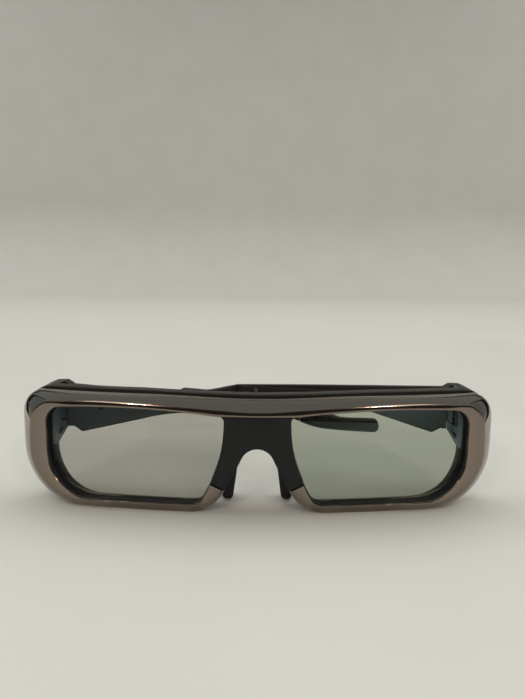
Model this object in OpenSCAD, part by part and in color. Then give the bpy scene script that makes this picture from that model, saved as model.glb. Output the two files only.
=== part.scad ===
// Active shutter glasses, standing on the rims of the front with both temples folded behind it.
// X runs along the front, Y runs back from the front, Z is up. Right and left are the wearer's:
// the right side is at -X. The front is bent round an upright axis, so depths behind its face
// are radial, and the pieces of the front are rings about that one axis.

/* [Front] */
// Width of the front, side to side
front_w = 175; // [168:1:184]
// Radius that the front face is bent to, in plan
wrap_r = 380; // [330:10:460]
// Height of the top edge of the bezel at its parting line
brow_z = 42.2; // [41.5:0.1:44]
// How far the top edge dips at the middle
brow_dip = 1.0; // [0.4:0.1:1.4]
// Half width of the part of the top edge that dips
brow_flat_x = 42; // [30:1:50]
// Height of the brow above its crease
brow_h = 3.2; // [2.6:0.1:3.4]
// Radius of the lower outer corners of the front
low_r = 23; // [18:0.5:25]
// Radius of the upper outer corners of the front
top_r = 10; // [7:0.5:11]
// Depth of the bezel from its face to the parting line
bezel_d = 7.6; // [7.4:0.1:9]
// Depth of the rear frame behind the parting line
rear_d = 5.0; // [4:0.1:6]
// Height that the rear frame stands above the bezel
rear_rise = 0.8; // [0.4:0.1:1.2]
// Gap at the parting line
part_gap = 0.1; // [0.05:0.05:0.2]

/* [Lens openings] */
// Width of the bezel beside the outer edge of an opening
rim_side = 10.8; // [10.4:0.1:12]
// Height of the rim under an opening
rim_low = 3.6; // [3.4:0.1:4.4]
// Height of the band between an opening and the crease
band_h = 1.0; // [0.8:0.1:2]
// Radius of the arched top edge of an opening
open_arch_r = 300; // [240:10:400]
// Distance from the middle to the highest point of an opening
open_arch_x = 50; // [44:1:56]
// Half width of the bridge at the top edge of the openings
bridge_top_x = 11.8; // [11:0.1:12.8]
// Radius of the curved side of an opening by the nose
open_side_r = 55; // [46:1:70]
// Radius of the lower outer corner of an opening
open_low_r = 17; // [12:0.5:17.5]
// Radius of the upper outer corner of an opening
open_top_r = 6; // [4:0.5:7]
// Radius of the lower corner by the nose
open_nose_r = 5; // [4:0.1:6]
// Radius of the upper corner by the nose
open_brow_r = 2; // [1:0.1:3]

/* [Nose] */
// Height of the top of the nose arch
arch_z = 24.2; // [22:0.1:24.4]
// Radius of the top of the nose arch
arch_r = 6; // [5:0.1:6.5]
// Half width of the arch if its lower corners ran on upwards
arch_foot_x = 10; // [9.5:0.1:10.5]
// Radius of the rims' lower corners beside the nose
foot_r = 15; // [13:0.1:16]
// Height of the joint between the bridge window and the rims, beside the nose
joint_z = 8.0; // [7.6:0.1:9]
// How much higher that joint is at the opening
joint_rise = 3.9; // [3:0.1:4.5]
// Setback of the bridge window behind the bezel's face
window_back = 0.5; // [0.3:0.1:0.9]
// Wall of the bridge window in front of the receiver
window_wall = 2.0; // [1.6:0.1:2.3]
// Depth of a nose pad behind the rear frame
pad_d = 6.5; // [5:0.1:8]
// Half width of the gap between the nose pads at the table
pad_gap_x = 9.2; // [8.4:0.1:9.8]
// Half width of the gap between the nose pads at their top
pad_top_x = 7.0; // [6.6:0.1:7.6]
// Height of a nose pad
pad_h = 17; // [14:0.5:18.5]

/* [Shutters] */
// Overlap of a shutter behind the edge of its opening
lens_lap = 1.5; // [1.2:0.1:1.7]
// Depth of the bezel's lip in front of a shutter
lip_d = 3.6; // [3:0.1:3.6]
// Thickness of a gasket
gasket_t = 1.0; // [0.6:0.1:1.2]
// Thickness of one glass plate
glass_t = 1.2; // [0.8:0.05:1.25]
// Gap between the two plates and behind each gasket
cell_gap = 0.1; // [0.05:0.01:0.15]
// Edge clearance of a shutter in its seat
lens_play = 0.2; // [0.1:0.05:0.3]
// Overlap of the rear frame behind a shutter
rear_lip = 0.9; // [0.6:0.1:1.1]

/* [Pods and hinges] */
// Distance of a hinge axis in from the side of the front
hinge_inset = 9; // [8.6:0.1:9.6]
// Distance of the hinge axes behind the front of the bridge
hinge_y = 28; // [27.5:0.1:30]
// Radius of the hinge knuckles
knuckle_r = 2.6; // [2.2:0.1:2.8]
// Radius of a hinge pin
pin_r = 0.75; // [0.6:0.05:1]
// Radial clearance of a pin in its bores
pin_play = 0.05; // [0.02:0.01:0.08]
// Height of the underside of the lower knuckle
knuckle_z = 24; // [23:0.1:25]
// Height of one knuckle of the frame
lug_h = 3.4; // [2.5:0.1:4]
// Depth of a hinge pin's end below the top of the rear frame
knuckle_drop = 2.0; // [1.8:0.1:3]
// How far the hood over a hinge reaches in from its axis
hood_in = 2.9; // [2.4:0.1:3]
// How far the hood over a hinge reaches behind its axis
hood_back = 1.5; // [1:0.1:1.6]
// Gap between knuckles
knuckle_gap = 0.2; // [0.1:0.05:0.3]
// Height of the underside of a pod
pod_z = 21; // [20:0.1:21.6]
// Wall of a pod
pod_wall = 1.2; // [1:0.1:1.4]
// Height of the bezel above the hollow of a pod
pod_cap = 3.6; // [3.2:0.1:4]
// Width of the hollow of a pod
pod_w = 4.8; // [4.7:0.05:5]

/* [Temples] */
// Length of a temple from its hinge axis
temple_len = 121; // [116:1:122]
// Thickness of a temple outside its hinge axis
temple_out = 3.5; // [3:0.1:4]
// Thickness of a temple inside its hinge axis
temple_in = 1.5; // [1.2:0.1:1.8]
// Thickness of a temple's inner cover
cover_t = 1.1; // [0.9:0.05:1.2]
// Distance from a hinge axis to the root of the temple
root_s = 3.6; // [3.4:0.1:4.2]
// Depth of a temple's root below the top of the rear frame
temple_drop = 1.7; // [1:0.1:3]
// Height of the lower edge at the root
root_low = 22; // [21:0.1:24]
// Height of the top edge at the middle
mid_top = 37; // [36:0.1:38]
// Height of the lower edge along the middle
mid_low = 31; // [30.9:0.1:32]
// Height of the top edge where the hook begins
hook_top = 34.8; // [34:0.1:36]
// Height of the top edge of the ear tip
tip_top = 30; // [29:0.1:30.1]
// Height of the lower edge of the ear tip
tip_low = 24.6; // [23:0.1:25.5]
// Length of the ear tip
tip_len = 26; // [24:0.5:28]
// Angle of the folded right temple, from the front
right_rest = -4; // [-4.5:0.1:-3]
// Angle of the folded left temple, from the front
left_rest = 21; // [20.5:0.5:24]

/* [Button] */
// Length of the button, front to back
button_l = 3.4; // [2.6:0.1:3.8]
// Width of the button
button_w = 1.8; // [1.4:0.1:2]
// Height that the button stands out
button_out = 0.8; // [0.6:0.1:1]
// Travel of the button
button_travel = 0.5; // [0.3:0.05:0.6]
// Clearance round the button
button_play = 0.12; // [0.08:0.01:0.2]

/* [Hidden] */

// Steps in an arc of an outline
ARC_STEPS = 10;
// Facets of small round pieces
ROUND = 40;
// Facets of the bends of the front
BEND = 180;
// Overshoot of a cut
CUT = 1;
// Height and depth that clear the whole front
TALL = 60;
DEEP = 45;

half_w = front_w / 2;
hinge_x = half_w - hinge_inset;
crease_z = brow_z - brow_h;
open_top = crease_z - band_h;
// The part stands centred on its origin, front to back
depth_all = hinge_y + temple_len * sin(left_rest) + temple_out * cos(left_rest);
rear_front = bezel_d + part_gap;
rear_back = rear_front + rear_d;
gasket_back = lip_d + gasket_t;
front_glass = gasket_back + cell_gap / 2;
rear_glass = front_glass + glass_t + cell_gap;
open_out_x = half_w - rim_side;
// Wall between a shutter's seat and the hollow of a pod
seat_wall = 1.4;
// Wall of the bezel in front of a pod
pod_face = 2.2;
// Room that a moving knuckle or temple keeps from the frame
swing_gap = 0.4;
// Half width of a pod's back at its hinge
lug_half_w = 2.3;
// Thickness of the skin outside a hinge
skin_t = 1.6;
// Play between small pieces that are laid in place
lay_play = 0.1;
pod_in_x = open_out_x + lens_lap + lens_play + seat_wall;
pod_out_x = pod_in_x + pod_w;
pod_front = wrap(pod_out_x) + pod_face;
pod_floor = pod_z + pod_wall;
pod_roof = brow_z - pod_cap;
pod_h = pod_roof - pod_floor;
wing_top = brow_z + rear_rise;
wing_back = hinge_y - knuckle_r - swing_gap;
pod_back = wing_back - pod_wall;
wing_in_x = hinge_x - lug_half_w;
skin_in_x = hinge_x + temple_out - lay_play;
skin_back = hinge_y + root_s - 2 * swing_gap;
knuckle_top = wing_top - knuckle_drop;
barrel_z = knuckle_z + lug_h + knuckle_gap;
upper_lug_z = knuckle_top - lug_h;
barrel_h = upper_lug_z - knuckle_gap - barrel_z;
root_top = wing_top - temple_drop;
arm_in = temple_in - cover_t - lay_play;
// Circuit board in the left pod
board_t = 0.8;
board_edge = 0.5;
board_x = pod_in_x + board_edge;
board_y = pod_front + board_edge;
board_l = pod_back - board_y - board_edge / 2;
board_h = pod_h - 2 * board_edge;
board_z = pod_floor + board_edge / 2;
// Button and switch
flange_h = 0.8;
flange_lip = 0.35;
switch_size = [2.8, 3.2, 2];
button_x = board_x + board_t + switch_size[0] / 2 + flange_lip;
button_y = pod_back - lay_play - flange_lip - button_l / 2;
// Flat cable
flex_drop = 2.2;
flex_h = 1.2;
flex_t = 0.3;
flex_tab_w = 1.8;
flex_mid_w = 4;
cable_play = 0.25;
flex_z = brow_z - flex_drop;
flex_d = rear_front + 2 * cable_play;
tab_z = pod_roof - cable_play;
// Screws of the frame
screw_r = 0.7;
screw_play = 0.05;
head_r = 1.2;
head_t = 0.9;
head_sink = 1.2;
screw_l = 9;
slot_w = 0.4;
foot_screw_in = 2.6;
foot_screw_turn = 222;
// Bezel, window and inlays
edge_bevel = 1;
window_drop = 3.2;
joint_x = 18;
inlay_in = 2.6;
inlay_w = 12;
inlay_h = 5.1;
inlay_drop = 1.3;
inlay_t = 1.2;
inlay_play = 0.1;
gasket_inset = 0.3;
// Receiver in its hollow behind the bridge window
ir_w = 13;
ir_floor = 2.4;
ir_roof = 1.8;
ir_play = 0.3;
ir_body = [4.6, 2.2, 4.2];
ir_lens_r = 1.5;
ir_z = arch_z + ir_floor;
ir_h = crease_z - window_drop - ir_roof - ir_z;
ir_board_y = bezel_d - board_t - ir_play;
// Charging socket, light and switch of the left pod
socket = [board_x - lay_play - wing_in_x, 2.8, 7.5];
socket_t = 0.4;
socket_z = knuckle_z + lug_h;
socket_y = pod_back - socket[1];
light_r = 0.7;
light_at = [board_x + board_t + 2 * light_r, button_y];
light_top = wing_top - knuckle_drop;
flange_z = pod_floor + lay_play;
switch_z = flange_z + flange_h + button_travel + lay_play;
// Nose pads
pad_t = 4.2;
pad_plate_t = 1.4;
peg_r = 1.1;
peg_l = 2.2;
peg_play = 0.05;
pad_plate_x = arch_foot_x + pad_t + pad_plate_t;
peg_up = 1.8;
peg_at = [pad_plate_x - 2 * peg_r, joint_z + peg_up];
pad_y = wrap(pad_plate_x) + rear_back + lay_play;
// Hinge pins and the slanted end of the hoods over the hinges
pin_head_t = 0.6;
hood_slant = 2.4;
// Side shape of a temple: the cut at its root, where its lower edge levels out, and its hook
root_cut = 4;
rise_s = 42;
mid_s = temple_len / 2;
hook_bend = 5;
hook_s = temple_len - tip_len + hook_bend / 2;
tip_flat = 9;
hook_end = temple_len - tip_flat;
tip_round = 0.6;
// Ear tip on its tongue, and the inner cover with its screws
tongue_t = 2;
tongue_u = (temple_out - temple_in - tongue_t) / 2;
tongue_e = 1.2;
tongue_l = 16;
sleeve_s = temple_len - tip_len;
cover_end = 3;
cover_from = root_s + 2 * cover_end;
cover_to = sleeve_s - cover_end;
cover_e = 0.9;
cover_screw_r = 0.5;
cover_head_t = 0.5;
cover_screw_in = 7;
cover_screw_s = [cover_from + cover_screw_in, cover_to - cover_screw_in];

// How far the front face lies back at a distance from the middle
function wrap(x) = wrap_r - sqrt(wrap_r * wrap_r - x * x);

// Points on an arc about [cx, cy]
function arc(cx, cy, r, from, to) =
    [for (i = [0 : ARC_STEPS]) let (a = from + (to - from) * i / ARC_STEPS)
        [cx + r * cos(a), cy + r * sin(a)]];

// Direction of the outer tangent's normal from circle a to circle b, going round anticlockwise
function belt_angle(a, b) =
    let (dx = b[0] - a[0], dy = b[1] - a[1])
    atan2(dy, dx) - acos(max(-1, min(1, (a[2] - b[2]) / norm([dx, dy]))));

// An angle not less than another one
function after(a, least) = a < least ? after(a + 360, least) : a >= least + 360 ? after(a - 360, least) : a;

// Outline of a belt round circles [x, y, r], grown by e
function belt(circles, e) =
    let (n = len(circles))
    [for (i = [0 : n - 1])
        let (c = circles[i],
             a = belt_angle(circles[(i + n - 1) % n], c),
             b = after(belt_angle(c, circles[(i + 1) % n]), a))
        each arc(c[0], c[1], c[2] + e, a, b)];

// The mirror image of a half outline, run backwards, without its two middle points
function mirrored(p) = [for (i = [len(p) - 2 : -1 : 1]) [-p[i][0], p[i][1]]];

// Angle of the line from the arch to the rim's lower corner
function arch_angle() =
    let (dx = arch_foot_x + foot_r, dz = foot_r - arch_z + arch_r)
    atan2(dz, dx) + acos((arch_r + foot_r) / norm([dx, dz]));

// Half outline of the front, from the top of the arch round to the middle of the brow
function front_half(rise) = concat(
    arc(0, arch_z - arch_r, arch_r, 90, arch_angle()),
    arc(arch_foot_x + foot_r, foot_r, foot_r, 180 + arch_angle(), 270),
    arc(half_w - low_r, low_r, low_r, 270, 360),
    arc(half_w - top_r, brow_z + rise - top_r, top_r, 0, 90),
    [[brow_flat_x, brow_z + rise], [brow_flat_x / 2, brow_z + rise - brow_dip * 0.6],
     [0, brow_z + rise - brow_dip]]);

// Height of the centre of a corner circle that touches the arched top edge from inside
function under_arch(x, r) =
    let (reach = open_arch_r - r, away = open_arch_x - x)
    open_top - open_arch_r + sqrt(reach * reach - away * away);

// Circles that the outline of the left opening runs round: its corners, its top edge and its
// curved side by the nose
brow_corner_x = bridge_top_x + open_brow_r;
brow_corner_z = under_arch(brow_corner_x, open_brow_r);
nose_corner_z = rim_low + open_nose_r;
nose_reach = open_side_r - open_nose_r;
nose_fall = brow_corner_z - nose_corner_z;
nose_corner_x = bridge_top_x + open_side_r - sqrt(nose_reach * nose_reach - nose_fall * nose_fall);
opening_circles = [
    [nose_corner_x, nose_corner_z, open_nose_r],
    [open_out_x - open_low_r, rim_low + open_low_r, open_low_r],
    [open_out_x - open_top_r, under_arch(open_out_x - open_top_r, open_top_r), open_top_r],
    [open_arch_x, open_top - open_arch_r, open_arch_r],
    [brow_corner_x, brow_corner_z, open_brow_r],
    [bridge_top_x + open_side_r, brow_corner_z, open_side_r]];

// Everything is placed from the front of the bridge
module placed() {
    translate([0, -depth_all / 2, 0]) children();
}

// A flat outline in X and Z run straight back from depth y0 to y1
module run_back(y0, y1) {
    translate([0, y1, 0]) rotate([90, 0, 0]) linear_extrude(y1 - y0) children();
}

// The bent layer between two depths behind the face
module layer(d0, d1) {
    translate([0, wrap_r, -CUT]) difference() {
        cylinder(h = TALL + CUT, r = wrap_r - d0, $fn = BEND);
        translate([0, 0, -CUT]) cylinder(h = TALL + 3 * CUT, r = wrap_r - d1, $fn = BEND);
    }
}

// An outline bent to the front between two depths
module bent(d0, d1) {
    intersection() {
        run_back(-CUT, DEEP) children();
        layer(d0, d1);
    }
}

module front_shape(rise) {
    half = front_half(rise);
    polygon(concat(half, mirrored(half)));
}

module opening_shape(e) {
    polygon(belt(opening_circles, e));
}

module on_side(side) {
    if (side > 0) children();
    else mirror([1, 0, 0]) children();
}

module both_sides() {
    children();
    mirror([1, 0, 0]) children();
}

// The part of the front between the openings that the bridge window takes, grown by e
module window_shape(e) {
    top_z = crease_z - window_drop;
    polygon([[-joint_x, joint_z + joint_rise - e], [-arch_foot_x, joint_z - e], [arch_foot_x, joint_z - e],
             [joint_x, joint_z + joint_rise - e], [joint_x, top_z + e], [-joint_x, top_z + e]]);
}

// The hollow of the left pod
module pod_hollow() {
    translate([pod_in_x, pod_front, pod_floor]) cube([pod_w, pod_back - pod_front, pod_h]);
}

// Section of the bezel: depth behind the face against height, with a quarter round brow
module bezel_section() {
    brow = [for (i = [0 : ARC_STEPS]) let (a = 90 * i / ARC_STEPS)
        [wrap_r - bezel_d * (1 - cos(a)), crease_z + brow_h * sin(a)]];
    polygon(concat([[wrap_r - bezel_d, 0], [wrap_r - edge_bevel, 0], [wrap_r, edge_bevel]], brow));
}

// The grey triangle at an upper outer corner: its top edge, its outer edge and its lower point
module inlay_shape(e) {
    outer_x = half_w - inlay_in;
    top_z = crease_z - inlay_drop;
    polygon([[outer_x - inlay_w - 2 * e, top_z + e], [outer_x - inlay_in / 2, top_z + e],
             [outer_x + e, top_z - inlay_in / 2], [outer_x - inlay_in / 2 + e, top_z - inlay_h - 2 * e]]);
}

// Places of the screws that join the rear frame to the bezel, as x and z
frame_screw_at = [[pod_in_x + head_r + lay_play, pod_z - 2 * pod_wall - head_r],
                  [arch_foot_x + foot_r + (foot_r - foot_screw_in) * cos(foot_screw_turn),
                   foot_r + (foot_r - foot_screw_in) * sin(foot_screw_turn)]];
function screw_head_y(x) = wrap(x) + rear_back - head_sink;

module frame_screw_holes(r) {
    for (p = frame_screw_at)
        translate([p[0], screw_head_y(p[0]) + CUT, p[1]]) rotate([90, 0, 0])
            cylinder(h = screw_l + CUT, r = r, $fn = ROUND);
}

module front_bezel() color("#5d524b") placed() difference() {
    intersection() {
        run_back(-CUT, DEEP) front_shape(0);
        translate([0, wrap_r, 0]) rotate_extrude($fn = BEND) bezel_section();
    }
    both_sides() {
        run_back(-2 * CUT, DEEP) opening_shape(0);
        bent(lip_d, bezel_d + CUT) opening_shape(lens_lap + lens_play);
        bent(-CUT, inlay_t + inlay_play) inlay_shape(inlay_play);
        pod_hollow();
        frame_screw_holes(screw_r + screw_play);
    }
    run_back(-2 * CUT, DEEP) window_shape(part_gap);
}

module bridge_window() color("#232625") placed() difference() {
    intersection() {
        run_back(-CUT, DEEP) front_shape(0);
        run_back(-CUT, DEEP) window_shape(0);
        layer(window_back, bezel_d);
    }
    both_sides() {
        run_back(-2 * CUT, DEEP) opening_shape(0);
        bent(lip_d, bezel_d + CUT) opening_shape(lens_lap + lens_play);
    }
    translate([-ir_w / 2, window_back + window_wall, ir_z]) cube([ir_w, DEEP, ir_h]);
}

module ir_board() color("#1f4a35") placed()
    translate([-ir_w / 2 + ir_play, ir_board_y, ir_z + ir_play])
        cube([ir_w - 2 * ir_play, board_t, ir_h - 2 * ir_play]);

// The receiver has a flat body with a round lens on its front
module ir_receiver() color("#2a2226") placed()
    translate([-ir_body[0] / 2, ir_board_y - ir_body[1], ir_z + (ir_h - ir_body[2]) / 2]) {
        cube(ir_body);
        translate([ir_body[0] / 2, ir_play, ir_body[2] / 2]) rotate([90, 0, 0])
            cylinder(h = 2 * ir_play, r = ir_lens_r, $fn = ROUND);
    }

module corner_inlay(side) color("#6d6c69") placed() on_side(side)
    intersection() {
        run_back(-CUT, DEEP) inlay_shape(0);
        layer(0, inlay_t);
    }

module lens_gasket(side) color("#1b1d1e") placed() on_side(side) difference() {
    bent(lip_d, gasket_back) opening_shape(lens_lap);
    run_back(-CUT, DEEP) opening_shape(gasket_inset);
}

module shutter_front_glass(side) color("#8f9085", 0.6) placed() on_side(side)
    bent(front_glass, front_glass + glass_t) opening_shape(lens_lap);

module shutter_rear_glass(side) color("#8a8c80", 0.6) placed() on_side(side)
    bent(rear_glass, rear_glass + glass_t) opening_shape(lens_lap - lens_play);

// Plan of the left wing: the pod, and the skin outside the hinge
module wing_plan() {
    inner_y = wrap(wing_in_x) + rear_back + swing_gap;
    inner_x = pod_in_x - seat_wall;
    outer_x = half_w - swing_gap;
    polygon([[inner_x, 0], [outer_x, 0], [outer_x, inner_y],
             [skin_in_x + skin_t, skin_back], [skin_in_x, skin_back], [skin_in_x, wing_back],
             [wing_in_x, wing_back], [wing_in_x, inner_y], [inner_x, inner_y]]);
}

module wing() {
    intersection() {
        translate([0, 0, pod_z]) linear_extrude(wing_top - pod_z) wing_plan();
        layer(rear_front, DEEP);
        run_back(-CUT, DEEP) front_shape(rear_rise);
    }
}

// The lower knuckle of the frame on the left, and the hood that is its upper knuckle
module lugs() {
    translate([hinge_x, hinge_y, knuckle_z]) {
        cylinder(h = lug_h, r = knuckle_r, $fn = ROUND);
        translate([-lug_half_w, wing_back - hinge_y - CUT, 0])
            cube([2 * lug_half_w, hinge_y - wing_back + CUT, lug_h]);
    }
    intersection() {
        translate([hinge_x - hood_in, wing_back - CUT, upper_lug_z])
            cube([skin_in_x + skin_t - hinge_x + hood_in, hinge_y + hood_back - wing_back + CUT, TALL]);
        run_back(-CUT, DEEP) front_shape(rear_rise);
    }
    end_x = hinge_x - hood_in;
    end_z = root_top + knuckle_gap;
    run_back(wing_back, hinge_y + hood_back)
        polygon([[end_x - hood_slant, end_z], [end_x + CUT, end_z], [end_x + CUT, wing_top], [end_x, wing_top]]);
}

// The flat cable's outline, grown by e
module flex_shape(e) {
    end_x = board_x + board_t;
    translate([-end_x - e, flex_z - e]) square([2 * (end_x + e), flex_h + 2 * e]);
    for (x = [-end_x, end_x - flex_tab_w])
        translate([x - e, tab_z - e]) square([flex_tab_w + 2 * e, flex_z - tab_z + flex_h + 2 * e]);
    translate([-flex_mid_w / 2 - e, ir_z + ir_h / 2 - e])
        square([flex_mid_w + 2 * e, flex_z - ir_z - ir_h / 2 + flex_h + 2 * e]);
}

module rear_frame() color("#3b3835") placed() difference() {
    union() {
        bent(rear_front, rear_back) front_shape(rear_rise);
        both_sides() {
            wing();
            lugs();
        }
    }
    both_sides() {
        run_back(-CUT, wing_back) opening_shape(lens_lap - rear_lip);
        pod_hollow();
        translate([hinge_x, hinge_y, 0])
            cylinder(h = knuckle_top + knuckle_gap, r = pin_r + pin_play, $fn = ROUND);
        frame_screw_holes(screw_r + screw_play);
        for (p = frame_screw_at)
            translate([p[0], screw_head_y(p[0]) + DEEP, p[1]]) rotate([90, 0, 0])
                cylinder(h = DEEP, r = head_r + screw_play, $fn = ROUND);
        translate([peg_at[0], pad_y + CUT, peg_at[1]]) rotate([90, 0, 0])
            cylinder(h = peg_l + CUT, r = peg_r + peg_play, $fn = ROUND);
    }
    bent(rear_front - CUT, flex_d + flex_t + cable_play) flex_shape(cable_play);
    translate([wing_in_x - CUT, socket_y - lay_play, socket_z - lay_play])
        cube([pod_in_x - wing_in_x + 2 * CUT, socket[1] + 2 * lay_play, socket[2] + 2 * lay_play]);
    translate([button_x - button_w / 2 - button_play, button_y - button_l / 2 - button_play, pod_z - CUT])
        cube([button_w + 2 * button_play, button_l + 2 * button_play, pod_wall + 2 * CUT]);
    translate([light_at[0], light_at[1], pod_roof - CUT])
        cylinder(h = TALL, r = light_r + pin_play, $fn = ROUND);
}

// A pad has a plate behind the frame's leg and a slanted face for the nose
module nose_pad(side) color("#17191a") placed() on_side(side) {
    run_back(pad_y, pad_y + pad_d)
        polygon([[pad_gap_x, 0], [pad_gap_x + pad_t, 0], [pad_gap_x + pad_t, pad_h / 3],
                 [pad_top_x + pad_t, pad_h * 3 / 4], [pad_top_x + pad_t / 2, pad_h], [pad_top_x, pad_h]]);
    run_back(pad_y, pad_y + pad_plate_t)
        translate([pad_top_x + pad_t / 2, peg_at[1] - 2 * peg_r])
            square([pad_plate_x - pad_top_x - pad_t / 2, 4 * peg_r]);
    translate([peg_at[0], pad_y, peg_at[1]]) rotate([90, 0, 0])
        cylinder(h = peg_l - lay_play, r = peg_r, $fn = ROUND);
}

module flex_cable() color("#b5772f") placed()
    bent(flex_d, flex_d + flex_t) flex_shape(0);

module battery() color("#b9bcc0") placed()
    translate([-pod_out_x + board_edge / 2, board_y, board_z])
        cube([pod_w - board_edge, board_l, board_h]);

module main_board() color("#1f4a35") placed()
    translate([board_x, board_y, board_z]) cube([board_t, board_l, board_h]);

// A charging socket that opens towards the wearer
module charge_socket() color("#b9bcc0") placed()
    translate([wing_in_x, socket_y, socket_z]) difference() {
        cube(socket);
        translate([-CUT, socket_t, socket_t])
            cube([socket[0] - 2 * socket_t + CUT, socket[1] - 2 * socket_t, socket[2] - 2 * socket_t]);
    }

module tact_switch() color("#2b2d2f") placed()
    translate([board_x + board_t, button_y - switch_size[1] / 2, switch_z]) cube(switch_size);

module power_button() color("#26282a") placed() {
    translate([button_x - button_w / 2, button_y - button_l / 2, pod_z - button_out])
        cube([button_w, button_l, button_out + pod_wall + lay_play]);
    translate([button_x - button_w / 2 - flange_lip, button_y - button_l / 2 - flange_lip, flange_z])
        cube([button_w + 2 * flange_lip, button_l + 2 * flange_lip, flange_h]);
}

module status_light() color("#cfd8d2") placed()
    translate([light_at[0], light_at[1], pod_roof - light_r])
        cylinder(h = light_top - pod_roof + light_r, r = light_r, $fn = ROUND);

module frame_screws() color("#8d8f92") placed() both_sides()
    for (p = frame_screw_at)
        translate([p[0], screw_head_y(p[0]), p[1]]) rotate([90, 0, 0]) {
            cylinder(h = screw_l - slot_w, r = screw_r, $fn = ROUND);
            translate([0, 0, -head_t]) difference() {
                cylinder(h = head_t, r = head_r, $fn = ROUND);
                translate([-head_r, -slot_w / 2, -CUT]) cube([2 * head_r, slot_w, CUT + slot_w]);
            }
        }

// A pin goes in from below, with its head under the lower knuckle
module hinge_pin(side) color("#8d8f92") placed() on_side(side)
    translate([hinge_x, hinge_y, knuckle_z]) {
        cylinder(h = knuckle_top - knuckle_z, r = pin_r, $fn = ROUND);
        translate([0, 0, -pin_head_t]) cylinder(h = pin_head_t, r = 2 * pin_r, $fn = ROUND);
    }

// Edges of a temple against the distance from its hinge axis
top_edge = [[root_s, root_top], [mid_s, mid_top], [hook_s - hook_bend, hook_top],
            [hook_s + hook_bend, hook_top - hook_bend / 3], [hook_end, tip_top], [temple_len, tip_top]];
low_edge = [[root_s, knuckle_z], [root_s + root_cut, root_low], [rise_s, mid_low], [hook_s, mid_low],
            [hook_end, tip_low + tip_round], [hook_end + hook_bend, tip_low], [temple_len, tip_low]];
stations = [root_s + root_cut, rise_s, mid_s, hook_s - hook_bend, hook_s, hook_s + hook_bend, hook_end,
            hook_end + hook_bend];

// Side outline of a temple between two distances, drawn in by e
module temple_side(s0, s1, e) {
    inner = [for (s = stations) if (s > s0 && s < s1) s];
    stops = concat([s0], inner, [s1]);
    n = len(stops);
    polygon(concat([for (s = stops) [s, lookup(s, low_edge) + e]],
                   [for (i = [n - 1 : -1 : 0]) [stops[i], lookup(stops[i], top_edge) - e]]));
}

// A temple is drawn along its own length, from its hinge axis, with Y outwards when it is open
module temple_placed(side) {
    placed() on_side(side) mirror([1, 0, 0])
        translate([-hinge_x, hinge_y, 0]) rotate([0, 0, side > 0 ? left_rest : right_rest]) children();
}

module temple_slab(u0, u1, s0, s1, e) {
    run_back(u0, u1) temple_side(s0, s1, e);
}

function mid_z(s) = (lookup(s, low_edge) + lookup(s, top_edge)) / 2;

module temple_arm(side) color("#39424a") temple_placed(side) difference() {
    union() {
        temple_slab(-arm_in, temple_out, root_s, sleeve_s - lay_play, 0);
        temple_slab(tongue_u, tongue_u + tongue_t, sleeve_s - CUT, sleeve_s + tongue_l, tongue_e);
        translate([0, 0, barrel_z]) {
            cylinder(h = barrel_h, r = knuckle_r, $fn = ROUND);
            translate([0, -arm_in, 0]) cube([root_s + CUT, arm_in + knuckle_r - swing_gap, barrel_h]);
        }
    }
    translate([0, 0, barrel_z - CUT]) cylinder(h = barrel_h + 2 * CUT, r = pin_r + pin_play, $fn = ROUND);
    for (s = cover_screw_s)
        translate([s, temple_out - cover_t + slot_w, mid_z(s)]) rotate([90, 0, 0])
            cylinder(h = temple_out + temple_in, r = cover_screw_r + screw_play, $fn = ROUND);
}

module temple_cover(side) color("#343c44") temple_placed(side) difference() {
    temple_slab(-temple_in, cover_t - temple_in, cover_from, cover_to, cover_e);
    for (s = cover_screw_s)
        translate([s, 0, mid_z(s)]) rotate([90, 0, 0]) {
            cylinder(h = temple_in + CUT, r = cover_screw_r + screw_play, $fn = ROUND);
            translate([0, 0, temple_in - cover_head_t - slot_w / 2])
                cylinder(h = CUT + cover_head_t + slot_w, r = 2 * cover_screw_r + screw_play, $fn = ROUND);
        }
}

module temple_screws(side) color("#8d8f92") temple_placed(side)
    for (s = cover_screw_s)
        translate([s, temple_out - cover_t, mid_z(s)]) rotate([90, 0, 0]) {
            shank_l = temple_out - cover_t + temple_in - cover_head_t - slot_w / 2;
            cylinder(h = shank_l, r = cover_screw_r, $fn = ROUND);
            translate([0, 0, shank_l]) cylinder(h = cover_head_t, r = 2 * cover_screw_r, $fn = ROUND);
        }

module ear_tip(side) color("#2f373f") temple_placed(side) difference() {
    temple_slab(-temple_in, temple_out, sleeve_s, temple_len, 0);
    temple_slab(tongue_u - lay_play, tongue_u + tongue_t + lay_play, sleeve_s - CUT,
                sleeve_s + tongue_l + 2 * lay_play, tongue_e - lay_play);
}

front_bezel();
bridge_window();
corner_inlay(-1);  // corner_inlay_right
corner_inlay(1);  // corner_inlay_left
lens_gasket(-1);  // lens_gasket_right
lens_gasket(1);  // lens_gasket_left
shutter_front_glass(-1);  // shutter_front_glass_right
shutter_front_glass(1);  // shutter_front_glass_left
shutter_rear_glass(-1);  // shutter_rear_glass_right
shutter_rear_glass(1);  // shutter_rear_glass_left
rear_frame();
nose_pad(-1);  // nose_pad_right
nose_pad(1);  // nose_pad_left
ir_receiver();
ir_board();
flex_cable();
battery();
main_board();
charge_socket();
tact_switch();
power_button();
status_light();
frame_screws();
hinge_pin(-1);  // hinge_pin_right
hinge_pin(1);  // hinge_pin_left
temple_arm(-1);  // temple_arm_right
temple_arm(1);  // temple_arm_left
temple_cover(-1);  // temple_cover_right
temple_cover(1);  // temple_cover_left
temple_screws(-1);  // temple_screws_right
temple_screws(1);  // temple_screws_left
ear_tip(-1);  // ear_tip_right
ear_tip(1);  // ear_tip_left
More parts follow.
